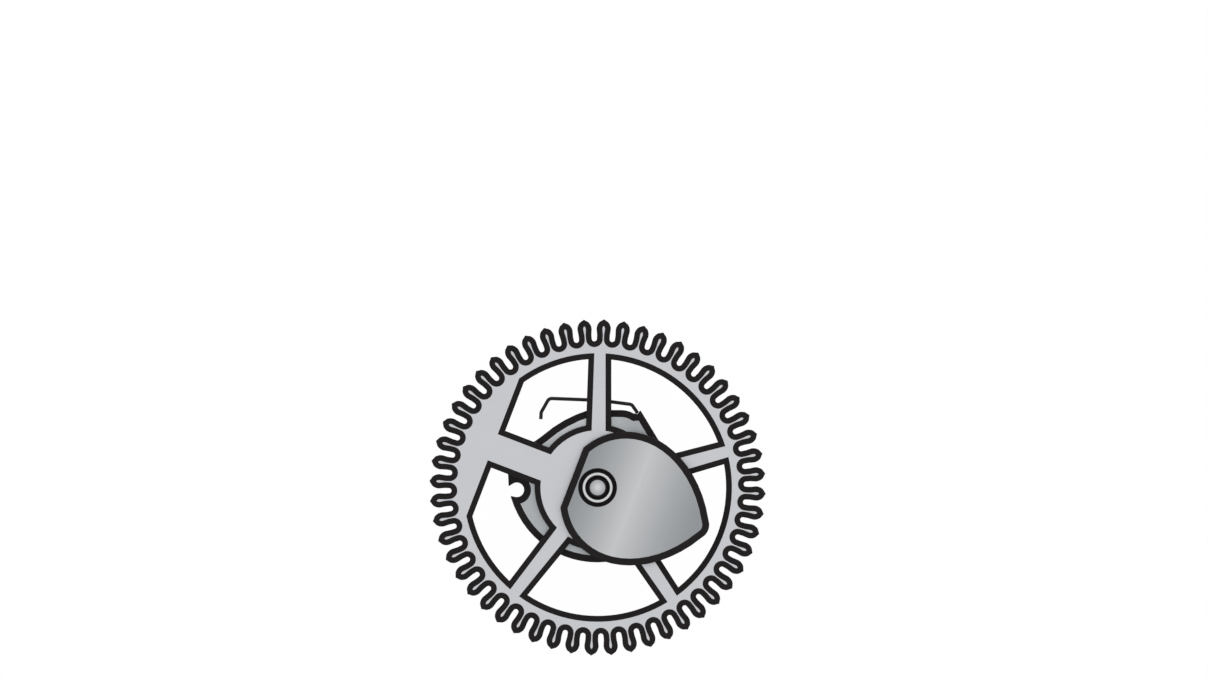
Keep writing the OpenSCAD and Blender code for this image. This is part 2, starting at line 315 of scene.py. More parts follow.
class Pen:
    """Draws one line, point after point, by extruding and spinning its last vertex."""

    def __init__(self, name: str, start: Point, upright: bool = False) -> None:
        """Sets the pen down.

        Args:
            name: The new object's name.
            start: The first point.
            upright: Whether the second coordinate runs up Z, as for a turned profile.
        """
        Bench.leave_edit()
        bpy.ops.object.select_all(action="DESELECT")
        bpy.ops.mesh.primitive_plane_add(size=1.0)
        self.drawn = bpy.context.object
        self.drawn.name = name
        self.drawn.data.name = name
        self.upright = upright
        bpy.ops.object.mode_set(mode="EDIT")
        bpy.ops.mesh.select_mode(type="VERT")
        bpy.ops.mesh.select_all(action="SELECT")
        bpy.ops.mesh.merge(type="CENTER")
        bpy.ops.transform.translate(value=self.lifted(start))
        self.at = start

    def lifted(self, point: Point) -> Place:
        """Returns a drawn point in space."""
        return (point[0], 0.0, point[1]) if self.upright else (point[0], point[1], 0.0)

    def line(self, *points: Point) -> "Pen":
        """Draws straight to each point in turn.

        Args:
            points: Where the line goes.

        Returns:
            The pen.
        """
        for to_point in points:
            step = (to_point[0] - self.at[0], to_point[1] - self.at[1])
            bpy.ops.mesh.extrude_vertices_move(
                TRANSFORM_OT_translate={"value": self.lifted(step)}
            )
            self.at = to_point
        return self

    def arc(self, centre: Point, angle: float, facet: float) -> "Pen":
        """Draws an arc about a centre.

        Args:
            centre: The arc's centre.
            angle: How far it turns, positive counter-clockwise.
            facet: The most that one facet may turn.

        Returns:
            The pen.
        """
        steps = max(1, math.ceil(abs(angle) / facet - TIGHT))
        bpy.ops.mesh.spin(
            steps=steps,
            angle=-math.radians(angle),
            center=self.lifted(centre),
            axis=(0.0, 0.0, 1.0),
        )
        out = (self.at[0] - centre[0], self.at[1] - centre[1])
        self.at = moved(centre, turned(out, angle))
        return self

    def round_axis(self, to_point: Point, facet: float) -> "Pen":
        """Draws an arc about the axis, the short way, to another point at the same radius."""
        angle = heading((0.0, 0.0), to_point) - heading((0.0, 0.0), self.at)
        return self.arc((0.0, 0.0), (angle + ROUND / 2) % ROUND - ROUND / 2, facet)

    def fill(self) -> Object:
        """Closes the line to a flat face.

        Returns:
            The drawn object, in object mode.
        """
        bpy.ops.mesh.select_all(action="SELECT")
        bpy.ops.mesh.remove_doubles(threshold=TIGHT)
        bpy.ops.mesh.edge_face_add()
        Bench.leave_edit()
        return self.drawn

    def turn(self, sides: int) -> Object:
        """Spins the line round the axis to a closed turned piece.

        Args:
            sides: How many facets go round.

        Returns:
            The drawn object, with its normals outwards.
        """
        bpy.ops.mesh.select_all(action="SELECT")
        bpy.ops.mesh.remove_doubles(threshold=TIGHT)
        bpy.ops.mesh.select_all(action="SELECT")
        bpy.ops.mesh.spin(
            steps=sides, angle=math.radians(ROUND), center=(0.0, 0.0, 0.0), axis=(0.0, 0.0, 1.0)
        )
        return Bench.outwards(self.drawn)


class Forms:
    """The few forms that the pieces are made of."""

    # How many facets go round a turned piece, and how far a cutter reaches past a plate's face.
    SIDES = 96
    MARGIN = 0.2

    @staticmethod
    def circle(name: str, centre: Point, radius: float) -> Object:
        """Draws a filled circle."""
        pen = Pen(name, moved(centre, (radius, 0.0)))
        return pen.arc(centre, ROUND, ROUND / Forms.SIDES).fill()

    @staticmethod
    def plate(outline: Object, thick: float, cut: Chamfer) -> Object:
        """Raises an outline to a plate, centred on the XY plane, chamfered on both faces.

        Args:
            outline: An object with one flat face.
            thick: The plate's thickness.
            cut: The chamfer round both faces.

        Returns:
            The same object as a closed plate.
        """
        Bench.face_along_z(outline, up=True)
        Bench.lift(thick / 2 - cut.depth)
        bpy.ops.mesh.inset(thickness=cut.width, depth=cut.depth, use_even_offset=True)
        Bench.pick(outline, lambda f: abs(f.normal.z) > FLAT_FACE and f.center.z < TIGHT)
        bpy.ops.mesh.delete(type="FACE")
        return Bench.mirror_down(outline)

    @staticmethod
    def flared(outline: Object, thick: float, cut: Chamfer) -> Object:
        """Makes a cutter that leaves a chamfer where it goes through both faces of a plate.

        Args:
            outline: The opening's outline where it is widest, at the plate's faces.
            thick: The plate's thickness.
            cut: The chamfer that the cutter leaves.

        Returns:
            The same object as a closed cutter.
        """
        Bench.face_along_z(outline, up=False)
        bpy.ops.transform.translate(value=(0.0, 0.0, thick / 2 + Forms.MARGIN))
        Bench.lift(-Forms.MARGIN)
        bpy.ops.mesh.inset(thickness=cut.width, depth=cut.depth, use_even_offset=True)
        Bench.lift(cut.depth - thick / 2)
        bpy.ops.mesh.delete(type="FACE")
        return Bench.mirror_down(outline)

    @staticmethod
    def bore(centre: Point, radius: float, thick: float, cut: Chamfer) -> Object:
        """Makes a cutter for a round hole with a chamfer at both faces of a plate."""
        return Forms.flared(Forms.circle("bore", centre, radius + cut.width), thick, cut)

    @staticmethod
    def lathe(name: str, profile: list[Corner], closed: bool) -> Object:
        """Turns a piece from a profile whose corners may be cut off.

        Args:
            name: The object's name.
            profile: Radius, height and cut of each corner, from one end to the other.
            closed: Whether the profile closes on itself, as round a bore.

        Returns:
            The closed turned piece.
        """
        points: list[Point] = []
        count = len(profile)
        for i, (radius, height, cut) in enumerate(profile):
            if cut <= 0:
                points.append((radius, height))
                continue
            for beside in (profile[i - 1], profile[(i + 1) % count]):
                away = heading((radius, height), beside[:2])
                points.append(moved((radius, height), toward(away, cut)))
        if closed:
            points.append(points[0])
        return Pen(name, points[0], upright=True).line(*points[1:]).turn(Forms.SIDES)


class Nodes:
    """Places and links the nodes of one material, world or group."""

    def __init__(self, tree: NodeTree) -> None:
        """Empties a node tree, to fill it anew."""
        tree.nodes.clear()
        self.tree = tree

    def add(self, kind: str, **settings: object) -> Node:
        """Adds a node and sets its properties.

        Args:
            kind: The node's type name, without the ShaderNode in front.
            settings: Properties by name.

        Returns:
            The new node.
        """
        name = kind if kind.startswith("NodeGroup") else f"ShaderNode{kind}"
        node = self.tree.nodes.new(name)
        for key, value in settings.items():
            setattr(node, key, value)
        return node

    def feed(self, node: Node, inputs: dict[str | int, object]) -> Node:
        """Sets or links a node's inputs.

        Args:
            node: The node to feed.
            inputs: A value or an output socket for each input, by name or number.

        Returns:
            The same node.
        """
        for key, value in inputs.items():
            if isinstance(value, NodeSocket):
                self.tree.links.new(value, node.inputs[key])
            else:
                node.inputs[key].default_value = value
        return node

    def make(self, kind: str, inputs: dict[str | int, object], **settings: object) -> NodeSocket:
        """Adds a node, feeds it and returns its first output."""
        return self.feed(self.add(kind, **settings), inputs).outputs[0]

    def output(self, kind: str, shader: NodeSocket) -> None:
        """Leads a shader to the output of a material or world."""
        self.feed(self.add(kind), {"Surface": shader})

    def maths(self, operation: str, *values: object) -> NodeSocket:
        """Adds a Math node and returns its value."""
        return self.make("Math", dict(enumerate(values)), operation=operation)

    def mix(self, share: object, low: object, high: object) -> NodeSocket:
        """Adds a Mix node, whose colours are inputs 6 and 7, and returns its colour."""
        node = self.add("Mix", data_type="RGBA", blend_type="MIX")
        return self.feed(node, {0: share, 6: low, 7: high}).outputs[2]

    def swing(self, noise: NodeSocket, depth: NodeSocket) -> NodeSocket:
        """Turns a noise from nought to one into a swing about nought."""
        return self.maths("MULTIPLY", self.maths("SUBTRACT", noise, 0.5), depth)

    def tint(self, tone: NodeSocket, swing: NodeSocket) -> NodeSocket:
        """Makes a tone lighter or darker by a share of itself."""
        lit = {0: tone, "Scale": self.maths("ADD", swing, 1.0)}
        return self.make("VectorMath", lit, operation="SCALE")

    def in_mm(self, place: NodeSocket, direction: float = 0.0) -> NodeSocket:
        """Brings a place from metres to millimetres, turned so that X runs in a direction."""
        turn = (0.0, 0.0, -math.radians(direction))
        return self.make("Mapping", {"Vector": place, "Rotation": turn, "Scale": (1 / MM,) * 3})

    def from_axis(self, vector: NodeSocket) -> tuple[NodeSocket, NodeSocket]:
        """Tells how far from the staff's axis a place lies.

        Args:
            vector: The place.

        Returns:
            Its distance from the axis and its height.
        """
        across, along, height = self.feed(self.add("SeparateXYZ"), {0: vector}).outputs
        squares = self.maths("MULTIPLY_ADD", across, across, self.maths("MULTIPLY", along, along))
        return self.maths("SQRT", squares), height


class Effects:
    """The shared node groups, each built once."""

    STREAKS = "streaks"
    RINGS = "rings"
    SHEEN = "sheen_band"
    CLOUDS = "clouds"

    COLOUR = "NodeSocketColor"
    VALUE = "NodeSocketFloat"
    VECTOR = "NodeSocketVector"

    # A grain is FINE_SHARE of a fine noise, and for the rest a noise at BROADER times its scale.
    # Straight streaks are this noise drawn out by STRETCH. Where the grain is brighter, it is smoother
    # by ROUGH_SWING of the tone's swing.
    STRETCH = (0.03, 1.0, 1.0)
    BROADER = 0.18
    FINE_SHARE = 0.6
    FINE_DETAIL = 3.0
    ROUGH_SWING = -0.6

    # The clouds' detail, and the power by which a painted sheen falls off from its peak.
    CLOUD_DETAIL = 2.0
    SHEEN_FALL = 1.35

    @staticmethod
    def group(name: str, takes: dict[str, str], gives: dict[str, str]) -> tuple[Nodes, Node, Node]:
        """Starts a node group.

        Args:
            name: The group's name.
            takes: Each input's name with its socket type.
            gives: Each output's name with its socket type.

        Returns:
            The group's nodes, its input node and its output node.
        """
        tree = bpy.data.node_groups.new(name, "ShaderNodeTree")
        for way, sockets in (("INPUT", takes), ("OUTPUT", gives)):
            for label, kind in sockets.items():
                tree.interface.new_socket(name=label, in_out=way, socket_type=kind)
        nodes = Nodes(tree)
        return nodes, nodes.add("NodeGroupInput"), nodes.add("NodeGroupOutput")

    @staticmethod
    def drawn_out(nodes: Nodes, vector: NodeSocket) -> NodeSocket:
        """Draws places out along X, for straight streaks."""
        return nodes.make("VectorMath", {0: vector, 1: Effects.STRETCH}, operation="MULTIPLY")

    @staticmethod
    def ringed(nodes: Nodes, vector: NodeSocket) -> NodeSocket:
        """Makes places the same all round the axis, for turned rings."""
        reach, height = nodes.from_axis(vector)
        return nodes.make("CombineXYZ", {0: reach, 1: height, 2: 0.0})

    @staticmethod
    def grain(name: str, shaped: Callable[[Nodes, NodeSocket], NodeSocket]) -> None:
        """Builds a grain: a fine and a broad noise tint the tone and lift the surface.

        Args:
            name: The group's name.
            shaped: Adds the nodes that give the noise its shape.
        """
        values = dict.fromkeys(("Scale", "Depth", "Roughness"), Effects.VALUE)
        nodes, taken, given = Effects.group(
            name,
            {"Vector": Effects.VECTOR, "Tone": Effects.COLOUR, **values},
            {"Tone": Effects.COLOUR, "Roughness": Effects.VALUE, "Height": Effects.VALUE},
        )
        vector = shaped(nodes, taken.outputs["Vector"])
        scale = taken.outputs["Scale"]
        fine = nodes.make(
            "TexNoise", {"Vector": vector, "Scale": scale, "Detail": Effects.FINE_DETAIL}
        )
        wide = nodes.maths("MULTIPLY", scale, Effects.BROADER)
        broad = nodes.make("TexNoise", {"Vector": vector, "Scale": wide})
        rest = nodes.maths("MULTIPLY", broad, 1 - Effects.FINE_SHARE)
        mean = nodes.maths("MULTIPLY_ADD", fine, Effects.FINE_SHARE, rest)
        swing = nodes.swing(mean, taken.outputs["Depth"])
        tone = nodes.tint(taken.outputs["Tone"], swing)
        rough = nodes.maths("MULTIPLY_ADD", swing, Effects.ROUGH_SWING, taken.outputs["Roughness"])
        nodes.feed(given, {"Tone": tone, "Roughness": rough, "Height": mean})

    @staticmethod
    def sheen() -> None:
        """Builds the painted sheen band, whose tone rises to a peak of painted highlight and falls
        again.
        """
        places = dict.fromkeys(("Along", "Low at", "Peak at", "High at"), Effects.VALUE)
        tones = dict.fromkeys(("Low", "Peak", "High"), Effects.COLOUR)
        nodes, taken, given = Effects.group(
            Effects.SHEEN, {**places, **tones}, {"Tone": Effects.COLOUR}
        )
        tone = taken.outputs["Peak"]
        for side in ("Low", "High"):
            share = nodes.make(
                "MapRange",
                {0: taken.outputs["Along"], 1: taken.outputs[f"{side} at"], 2: taken.outputs["Peak at"]},
                interpolation_type="LINEAR",
                clamp=True,
            )
            near_peak = nodes.maths("POWER", share, Effects.SHEEN_FALL)
            tone = nodes.mix(near_peak, taken.outputs[side], tone)
        nodes.feed(given, {"Tone": tone})

    @staticmethod
    def clouds() -> None:
        """Builds the clouds, a wide noise that tints the tone a little."""
        values = dict.fromkeys(("Scale", "Depth"), Effects.VALUE)
        nodes, taken, given = Effects.group(
            Effects.CLOUDS,
            {"Vector": Effects.VECTOR, "Tone": Effects.COLOUR, **values},
            {"Tone": Effects.COLOUR},
        )
        reads = {name: taken.outputs[name] for name in ("Vector", "Scale")}
        noise = nodes.make("TexNoise", {**reads, "Detail": Effects.CLOUD_DETAIL})
        swing = nodes.swing(noise, taken.outputs["Depth"])
        nodes.feed(given, {"Tone": nodes.tint(taken.outputs["Tone"], swing)})

    @staticmethod
    def build() -> None:
        """Builds every group."""
        Effects.grain(Effects.STREAKS, Effects.drawn_out)
        Effects.grain(Effects.RINGS, Effects.ringed)
        Effects.sheen()
        Effects.clouds()

    @staticmethod
    def use(nodes: Nodes, name: str, inputs: dict[str, object]) -> Node:
        """Adds a group to a material and feeds it."""
        return nodes.feed(nodes.add("Group", node_tree=bpy.data.node_groups[name]), inputs)


class Grain(Enum):
    """How a face was worked."""

    STRAIGHT = Effects.STREAKS
    TURNED = Effects.RINGS


@dataclass(frozen=True)
class Band:
    """A soft band of painted light and shade across a face, from one tone over a bright peak to another.

    Places are measured in the band's direction, or from the axis where that is None.
    """

    direction: float | None
    low_at: float
    peak_at: float
    high_at: float
    low: str
    peak: str
    high: str

    def lay(self, nodes: Nodes, place: NodeSocket) -> NodeSocket:
        """Adds the band of painted light and shade to a material.

        Args:
            nodes: The material's nodes.
            place: The object coordinates, in metres.

        Returns:
            The tone with the painted light and shade.
        """
        spot = nodes.in_mm(place, self.direction or 0.0)
        if self.direction is None:
            along = nodes.from_axis(spot)[0]
        else:
            along = nodes.make("SeparateXYZ", {0: spot})
        ends = {"Low at": self.low_at, "Peak at": self.peak_at, "High at": self.high_at}
        tones = {"Low": linear(self.low), "Peak": linear(self.peak), "High": linear(self.high)}
        return Effects.use(nodes, Effects.SHEEN, {"Along": along, **ends, **tones}).outputs[0]


@dataclass(frozen=True)
class Steel:
    """A worked steel surface: tone, grain and the way it takes the light.

    The scales of the grain and of the clouds are per millimetre. A Band tone paints light and shade.
    """

    name: str
    tone: str | Band
    grain: Grain = Grain.STRAIGHT
    grain_dir: float = 0.0
    grain_scale: float = 22.0
    grain_depth: float = 0.1
    roughness: float = 0.34
    metallic: float = 1.0
    specular: float = 0.5
    relief: float = 0.0004
    cloud_scale: float = 0.9
    cloud_depth: float = 0.05

    def make(self) -> Material:
        """Builds the material, or gives the one that is there already.

        Returns:
            The material.
        """
        known = bpy.data.materials.get(self.name)
        if known is not None:
            return known
        material = bpy.data.materials.new(self.name)
        material.use_nodes = True
        nodes = Nodes(material.node_tree)
        place = nodes.add("TexCoord").outputs["Object"]
        # A Band tone is painted light and shade; a hex tone is the plain colour.
        tone = self.tone.lay(nodes, place) if isinstance(self.tone, Band) else linear(self.tone)
        in_mm = nodes.in_mm(place)
        clouds = Effects.use(
            nodes,
            Effects.CLOUDS,
            {"Vector": in_mm, "Tone": tone, "Scale": self.cloud_scale, "Depth": self.cloud_depth},
        )
        grain = Effects.use(
            nodes,
            self.grain.value,
            {
                "Vector": nodes.in_mm(place, self.grain_dir),
                "Tone": clouds.outputs["Tone"],
                "Scale": self.grain_scale,
                "Depth": self.grain_depth,
                "Roughness": self.roughness,
            },
        )
        bump = nodes.make(
            "Bump", {"Height": grain.outputs["Height"], "Strength": 1.0, "Distance": self.relief * MM}
        )
        shader = nodes.make(
            "BsdfPrincipled",
            {
                "Base Color": grain.outputs["Tone"],
                "Roughness": grain.outputs["Roughness"],
                "Normal": bump,
                "Metallic": self.metallic,
                "Specular IOR Level": self.specular,
            },
        )
        nodes.output("OutputMaterial", shader)
        return material


# Blackened chamfers; the same dark finish is also painted shade on the walls of the wheel's tooth gaps.
DARK_EDGE_AND_SHADE = Steel(
    "darkened_edge_and_painted_shade", "231f20", grain_scale=30.0, grain_depth=0.25, roughness=0.55,
    metallic=0.0, specular=0.08, relief=0.0002,
)
WHEEL_FACE = Steel(
    "wheel_satin", "c3c4c8", grain_dir=24.0, grain_scale=26.0, grain_depth=0.07,
    cloud_depth=0.03, roughness=0.36,
)
WHEEL_WALL = Steel("wheel_cut", "a9acb0", grain_dir=90.0, roughness=0.3)
# The cam's tone is a painted highlight: a bright band across the face, over its brushed grain.
CAM_FACE = Steel(
    "cam_brushed_painted_sheen", Band(HEART_DIR, -3.2, -1.1, 0.75, "8f9396", "c0c1c3", "8c9093"),
    grain_dir=69.0, grain_scale=24.0, grain_depth=0.08, cloud_depth=0.03,
)
# The finger plate's tone is a painted highlight: a bright band across the face, over its brushed grain.
FINGER_FACE = Steel(
    "finger_brushed_painted_sheen", Band(36.0, -1.6, 1.0, 2.1, "a7abae", "c2c4c7", "a4a8ab"),
    grain_dir=126.0, grain_depth=0.08, cloud_depth=0.03,
)
# The pivot's end has painted dome shading: bright in the middle and darker towards its rim.
PIVOT_END = Steel(
    "pivot_burnished_painted_shade", Band(None, -0.3, 0.04, 0.27, "c8c9cb", "c8c9cb", "9a9da0"),
    grain=Grain.TURNED, grain_scale=40.0, roughness=0.22,
)
STAFF_WALL = Steel("staff_turned", "a9acb0", grain=Grain.TURNED, grain_scale=36.0, roughness=0.24)
RING_FACE = Steel("seat_polished", "c8cacc", grain=Grain.TURNED, grain_scale=40.0, roughness=0.25)
PIPE_WALL = Steel("pipe_turned", "b4b6b9", grain=Grain.TURNED, grain_scale=30.0, roughness=0.3)
COLLAR_FACE = Steel("collar_turned", "b3b7ba", grain=Grain.TURNED, grain_scale=24.0)
STOP_FACE = Steel("stop_turned", "878c8f", grain=Grain.TURNED, grain_scale=24.0, grain_depth=0.12)
STUD_FACE = Steel("stud_turned", "9b9ea2", grain=Grain.TURNED, grain_scale=40.0)
SPRING_SKIN = Steel(
    "spring_blackened", "231f20", grain_scale=40.0, roughness=0.4,
    metallic=0.0, specular=0.15, relief=0.0002,
)


def dress(piece: Object, layers: list[Steel], pick: Callable[[MeshPolygon], Layer]) -> None:
    """Puts a finish on each face of a piece.

    Args:
        piece: The finished piece.
        layers: The finishes, in the order of Layer.
        pick: Says which layer a face belongs to.
    """
    piece.data.materials.clear()
    for steel in layers:
        piece.data.materials.append(steel.make())
    for face in piece.data.polygons:
        face.material_index = pick(face).value


def by_slope(face: MeshPolygon) -> Layer:
    """Tells faces, sloping edges and upright walls apart by their normals.

    Args:
        face: A face of a finished piece.

    Returns:
        The layer that it belongs to.
    """
    lean = abs(face.normal.z)
    if lean > SLOPE_TO:
        return Layer.FACE
    return Layer.EDGE if lean > SLOPE_FROM else Layer.WALL


def mount(piece: Object, node: str, body: str) -> Object:
    """Puts a piece in place of its CAD node.

    Args:
        piece: The finished and dressed piece.
        node: The CAD node that it stands for.
        body: The body that it rides on.

    Returns:
        The piece.
    """
    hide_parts(node)
    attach(piece, body)
    log.info("%s: %d faces, in place of %s on %s", piece.name, len(piece.data.polygons), node, body)
    return piece


def heights(node: str) -> Point:
    """Returns the lowest and highest height of a CAD node, in millimetres."""
    low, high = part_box(node)
    return (low.z / MM, high.z / MM)


@dataclass
class Arbor:
    """The staff and the pipe that is pressed on it.

    The frame's zero lies where the shaft ends and the lower journal begins. The dome's middle is given
    in shares of the pivot's radius and, down from the top, of the dome's height.
    """

    pivot_r: float = 0.28
    cam_seat_r: float = 0.515
    body_r: float = 0.44
    journal_r: float = 0.26
    shaft_r: float = 0.2
    hand_seat_r: float = 0.145
    foot_r: float = 0.13
    foot_l: float = 0.66
    hand_seat_l: float = 0.9
    pipe_rs: tuple[float, float, float, float] = (0.6, 0.7, 0.86, 0.7)
    edge: float = 0.02
    seat_cut: float = 0.07
    groove: float = 0.094
    top_cut: float = 0.05
    dome: float = 0.02
    dome_mid: Point = (0.5, 0.2)
    end_above: float = 0.1
    edge_to: float = 0.9

    def staff(self) -> Object:
        """Turns the staff.

        Returns:
            The staff, in place.
        """
        foot_z, top_z = heights("staff")
        stop_z = heights("stop_plate")[0]
        cam_z, pivot_z = heights("heart_cam")
        seat_z = foot_z + self.foot_l
        shaft_z = seat_z + self.hand_seat_l
        profile = [
            (0.0, foot_z, 0.0),
            (self.foot_r, foot_z, self.edge),
            (self.hand_seat_r, seat_z, 0.0),
            (self.hand_seat_r, shaft_z, 0.0),
            (self.shaft_r, shaft_z, self.edge),
            (self.shaft_r, 0.0, 0.0),
            (self.journal_r, 0.0, 2 * self.edge),
            (self.journal_r, stop_z, 0.0),
            (self.body_r, stop_z, 0.0),
            (self.body_r, cam_z, 0.0),
            (self.cam_seat_r, cam_z, 0.0),
            (self.cam_seat_r, pivot_z, self.seat_cut),
            (self.pivot_r + self.groove, pivot_z, 0.0),
            (self.pivot_r, pivot_z - self.groove, 0.0),
            (self.pivot_r, top_z - self.dome, self.top_cut),
            (self.dome_mid[0] * self.pivot_r, top_z - self.dome_mid[1] * self.dome, 0.0),
            (0.0, top_z, 0.0),
        ]
        piece = Bench.settle(Forms.lathe("staff_turned_piece", profile, closed=False))

        def layer(face: MeshPolygon) -> Layer:
            """Tells the pivot's end, the seat's ring, the sloping cuts and the turned walls apart.

            Args:
                face: A face of the finished staff.

            Returns:
                The layer that it belongs to.
            """
            height = face.center.z / MM
            radius = math.hypot(face.center.x, face.center.y) / MM
            lean = abs(face.normal.z)
            on_top = height > pivot_z - 2 * self.groove and radius < self.cam_seat_r - self.edge
            if on_top and lean > SLOPE_TO:
                return Layer.END if height > pivot_z + self.end_above else Layer.WALL
            return Layer.EDGE if SLOPE_FROM < lean < self.edge_to else Layer.FACE

        dress(piece, [STAFF_WALL, DARK_EDGE_AND_SHADE, RING_FACE, PIVOT_END], layer)
        return mount(piece, "staff", RUNNER)

    def pipe(self) -> Object:
        """Turns the pipe.

        Returns:
            The pipe, in place.
        """
        stop_z, collar_z = heights("stop_plate")[0], heights("collar_disc")[0]
        journal_z = heights("collar_disc")[1]
        wheel_z, cam_z = heights("chronograph_wheel")
        stop_r, collar_r, journal_r, wheel_r = self.pipe_rs
        profile = [
            (self.body_r, stop_z, self.edge),
            (stop_r, stop_z, self.edge),
            (stop_r, collar_z, 0.0),
            (collar_r, collar_z, 0.0),
            (collar_r, journal_z, 0.0),
            (journal_r, journal_z, self.edge),
            (journal_r, wheel_z, self.edge),
            (wheel_r, wheel_z, 0.0),
            (wheel_r, cam_z, self.edge),
            (self.body_r, cam_z, self.edge),
        ]
        piece = Bench.settle(Forms.lathe("hub_pipe_turned", profile, closed=True))
        dress(piece, [PIPE_WALL, DARK_EDGE_AND_SHADE, PIPE_WALL], by_slope)
        return mount(piece, "hub_pipe", RUNNER)


@dataclass
class Wheel:
    """The toothed wheel: teeth, rim, spokes, the broad spoke and the solid rim segment.

    A crown's arcs end a little before their chamfers would meet, and two straight facets, crown_short
    degrees lower, run on to the tip.
    """

    tip_r: float = 5.05
    root_r: float = 4.385
    rim_in_r: float = 3.855
    segment_r: float = 3.195
    hub_r: float = 1.89
    bore_r: float = 0.7
    bore_cut: Chamfer = Chamfer(0.02, 0.02)
    spoke_hub_w: float = 0.76
    spoke_rim_w: float = 0.69
    spokes: tuple[float, ...] = (89.0, 15.5, -56.2, -128.2)
    broad_dir: float = HEART_DIR
    broad_w: float = 1.185
    teeth: int = 52
    phase: float = 87.8
    neck_w: float = 0.384
    neck_l: float = 0.11
    belly_w: float = 0.43
    crown_h: float = 0.29
    stud_at: Point = STUD_AT
    stud_hole_r: float = STUD_SHANK_R + 0.003
    stud_hole_l: float = 0.28
    cut: Chamfer = Chamfer(0.175, 0.08)
    facet: float = 3.0
    tooth_facet: float = 16.0
    crown_short: float = 4.0
    crown_facing: float = 0.35

    def blank(self) -> Object:
        """Draws the toothed outline: one gap between two teeth, copied round.

        Returns:
            An object with the outline as one face.
        """
        half_pitch = ROUND / 2 / self.teeth
        neck, belly = self.neck_w / 2, self.belly_w / 2
        gap_c_r = (self.root_r - neck) / (1 - math.sin(math.radians(half_pitch)))
        belly_r = self.tip_r - self.crown_h
        crown_off = (self.crown_h**2 - belly**2) / self.belly_w
        crown_r = belly + crown_off
        inner_turn = math.acos(crown_off / (crown_r - self.cut.width))
        crown_turn = math.degrees(inner_turn) - self.crown_short
        tooth_dir = self.phase
        gap_at = toward(tooth_dir + half_pitch, gap_c_r)

        def beside(direction: float, along: float, across: float) -> Point:
            """Returns a point by its places along and across a tooth's direction."""
            return turned((along, across), direction)

        side = turned((crown_r, 0.0), 90.0 - crown_turn)
        pen = Pen("toothed_wheel", toward(tooth_dir, self.tip_r))
        pen.line(beside(tooth_dir, belly_r + side[0], side[1] - crown_off))
        pen.arc(beside(tooth_dir, belly_r, -crown_off), crown_turn, self.tooth_facet)
        pen.line(beside(tooth_dir, gap_c_r + self.neck_l, neck))
        pen.line(beside(tooth_dir, turned(gap_at, -tooth_dir)[0], neck))
        start = heading(gap_at, pen.at)
        middle = tooth_dir + half_pitch + ROUND / 2
        half_turn = (start - middle) % ROUND
        pen.arc(gap_at, -2 * half_turn, self.tooth_facet)
        next_dir = tooth_dir + 2 * half_pitch
        pen.line(
            beside(next_dir, gap_c_r + self.neck_l, -neck),
            beside(next_dir, belly_r, -belly),
        )
        pen.arc(beside(next_dir, belly_r, crown_off), crown_turn, self.tooth_facet)
        pen.line(toward(next_dir, self.tip_r))
        bpy.ops.mesh.select_all(action="SELECT")
        copies = self.teeth - 1
        bpy.ops.mesh.spin(
            steps=copies,
            dupli=True,
            angle=-math.radians(ROUND * copies / self.teeth),
            center=(0.0, 0.0, 0.0),
            axis=(0.0, 0.0, 1.0),
        )
        return pen.fill()

    def spoke_line(self, direction: float, side: int, grow: float) -> Line:
        """Gives one side of a light spoke as a line.

        Args:
            direction: The spoke's direction.
            side: One for the counter-clockwise side, minus one for the other.
            grow: How far the line lies inside the spoke.

        Returns:
            The line.
        """
        slope = (self.spoke_rim_w - self.spoke_hub_w) / (self.rim_in_r - self.hub_r) / 2
        offset = self.spoke_hub_w / 2 - slope * self.hub_r - grow * math.hypot(1, slope)
        return (direction, side * offset, side * slope)

    @staticmethod
    def meets(line: Line, radius: float) -> Point:
        """Finds where a line that runs outwards crosses a circle round the axis.

        Args:
            line: The line.
            radius: The circle's radius.

        Returns:
            The crossing on the outer side.
        """
        direction, offset, slope = line
        square = 1 + slope * slope
        half = offset * slope
        along = (-half + math.sqrt(half * half - square * (offset**2 - radius**2))) / square
        return turned((along, offset + slope * along), direction)

    def window(self, first: float, second: float, grow: float) -> Object:
        """Draws a window, from the spoke in one direction to the next one clockwise.

        Args:
            first: The direction of the spoke on the counter-clockwise side.
            second: The direction of the spoke on the clockwise side.
            grow: How far the outline lies outside the window.

        Returns:
            An object with the window's outline as one face.
        """
        hub, rim = self.hub_r - grow, self.rim_in_r + grow
        chord = self.segment_r + grow
        broad = self.broad_w / 2 - grow
        rim_dir = math.degrees(math.acos(chord / rim))
        points: list[tuple[Point, bool]] = []
        if first == self.broad_dir:
            points.append((self.meets((first, -broad, 0.0), hub), False))
            points.append((turned((chord, -broad), first), False))
            points.append((toward(first - rim_dir, rim), False))
        else:
            line = self.spoke_line(first, -1, grow)
            points.append((self.meets(line, hub), False))
            points.append((self.meets(line, rim), False))
        if second == self.broad_dir:
            points.append((toward(second + rim_dir, rim), True))
            points.append((turned((chord, broad), second), False))
            points.append((self.meets((second, broad, 0.0), hub), False))
        else:
            line = self.spoke_line(second, 1, grow)
            points.append((self.meets(line, rim), True))
            points.append((self.meets(line, hub), False))
        pen = Pen("window", points[0][0])
        for point, along_rim in points[1:]:
            if along_rim:
                pen.round_axis(point, self.facet)
                pen.at = point
            else:
                pen.line(point)
        pen.round_axis(points[0][0], 2 * self.facet)
        return pen.fill()

